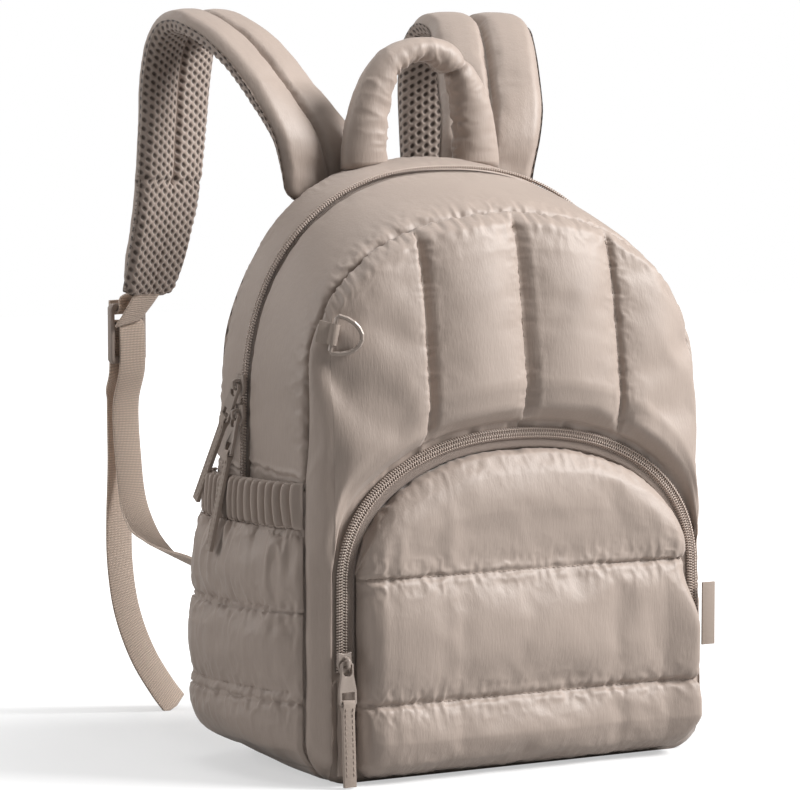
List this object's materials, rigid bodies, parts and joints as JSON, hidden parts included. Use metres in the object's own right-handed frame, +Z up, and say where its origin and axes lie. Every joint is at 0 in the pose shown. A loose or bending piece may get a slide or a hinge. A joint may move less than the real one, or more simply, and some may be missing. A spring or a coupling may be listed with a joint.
{
  "type": "backpack",
  "caption": "small quilted puffer backpack in taupe crinkled nylon, with a front zip pocket, side pockets, padded mesh shoulder straps and swinging zip pulls",
  "frame": {"origin": "on the floor under the middle of the bag's body, between its front and back edges", "axes": "+X to the right as the front is seen, +Y back toward the wearer, +Z up"},
  "size_m": [0.3135, 0.3091, 0.4353],
  "materials": {
    "shell": "crinkled nylon with a soft sheen",
    "tape": "woven zip tape with a nylon coil",
    "mesh": "padded air mesh",
    "webbing": "flat woven strap",
    "metal": "smooth taupe enamel",
    "plastic": "moulded acetal"
  },
  "bodies": {
    "bag": {"front_band": "shell", "rear_band": "shell", "lower_band": "shell", "main_zipper": "tape", "front_panel": "shell", "back_panel": "mesh", "front_pocket": "shell", "pocket_zipper": "tape", "carry_handle": "shell", "side_pocket_left": "shell", "side_pocket_right": "shell", "side_elastic_left": "shell", "side_elastic_right": "shell", "strap_pad_left": "shell", "strap_pad_right": "shell", "strap_mesh_left": "mesh", "strap_mesh_right": "mesh", "ladder_lock_left": "plastic", "ladder_lock_right": "plastic", "strap_webbing_left": "webbing", "strap_webbing_right": "webbing", "adjuster_webbing_left": "webbing", "adjuster_webbing_right": "webbing", "d_ring_tab": "webbing", "front_slider": "metal", "main_upper_slider": "metal", "main_lower_slider": "metal", "side_label": "webbing"},
    "front_pull_body": {"front_pull": "metal", "front_pull_tab": "webbing"},
    "main_upper_pull_body": {"main_upper_pull": "metal", "main_upper_pull_tab": "webbing"},
    "main_lower_pull_body": {"main_lower_pull": "metal", "main_lower_pull_tab": "webbing"},
    "d_ring_body": {"d_ring": "metal"}
  },
  "joints": [
    {"name": "front_pull_swing", "type": "hinge", "parent": "bag", "child": "front_pull_body", "pos_m": [-0.11494, -0.07525, 0.07], "axis": [-1, 0, 0], "range_deg": [0, 110]},
    {"name": "main_upper_pull_swing", "type": "hinge", "parent": "bag", "child": "main_upper_pull_body", "pos_m": [-0.13897, 0.009, 0.22], "axis": [0, 0.8746, 0.4848], "range_deg": [0, 90]},
    {"name": "main_lower_pull_swing", "type": "hinge", "parent": "bag", "child": "main_lower_pull_body", "pos_m": [-0.13953, 0.009, 0.203], "axis": [0, 1, 0], "range_deg": [0, 70]},
    {"name": "d_ring_swing", "type": "hinge", "parent": "bag", "child": "d_ring_body", "pos_m": [-0.11704, -0.06459, 0.252], "axis": [-0.1828, 0.0991, -0.9781], "range_deg": [0, 130]}
  ]
}
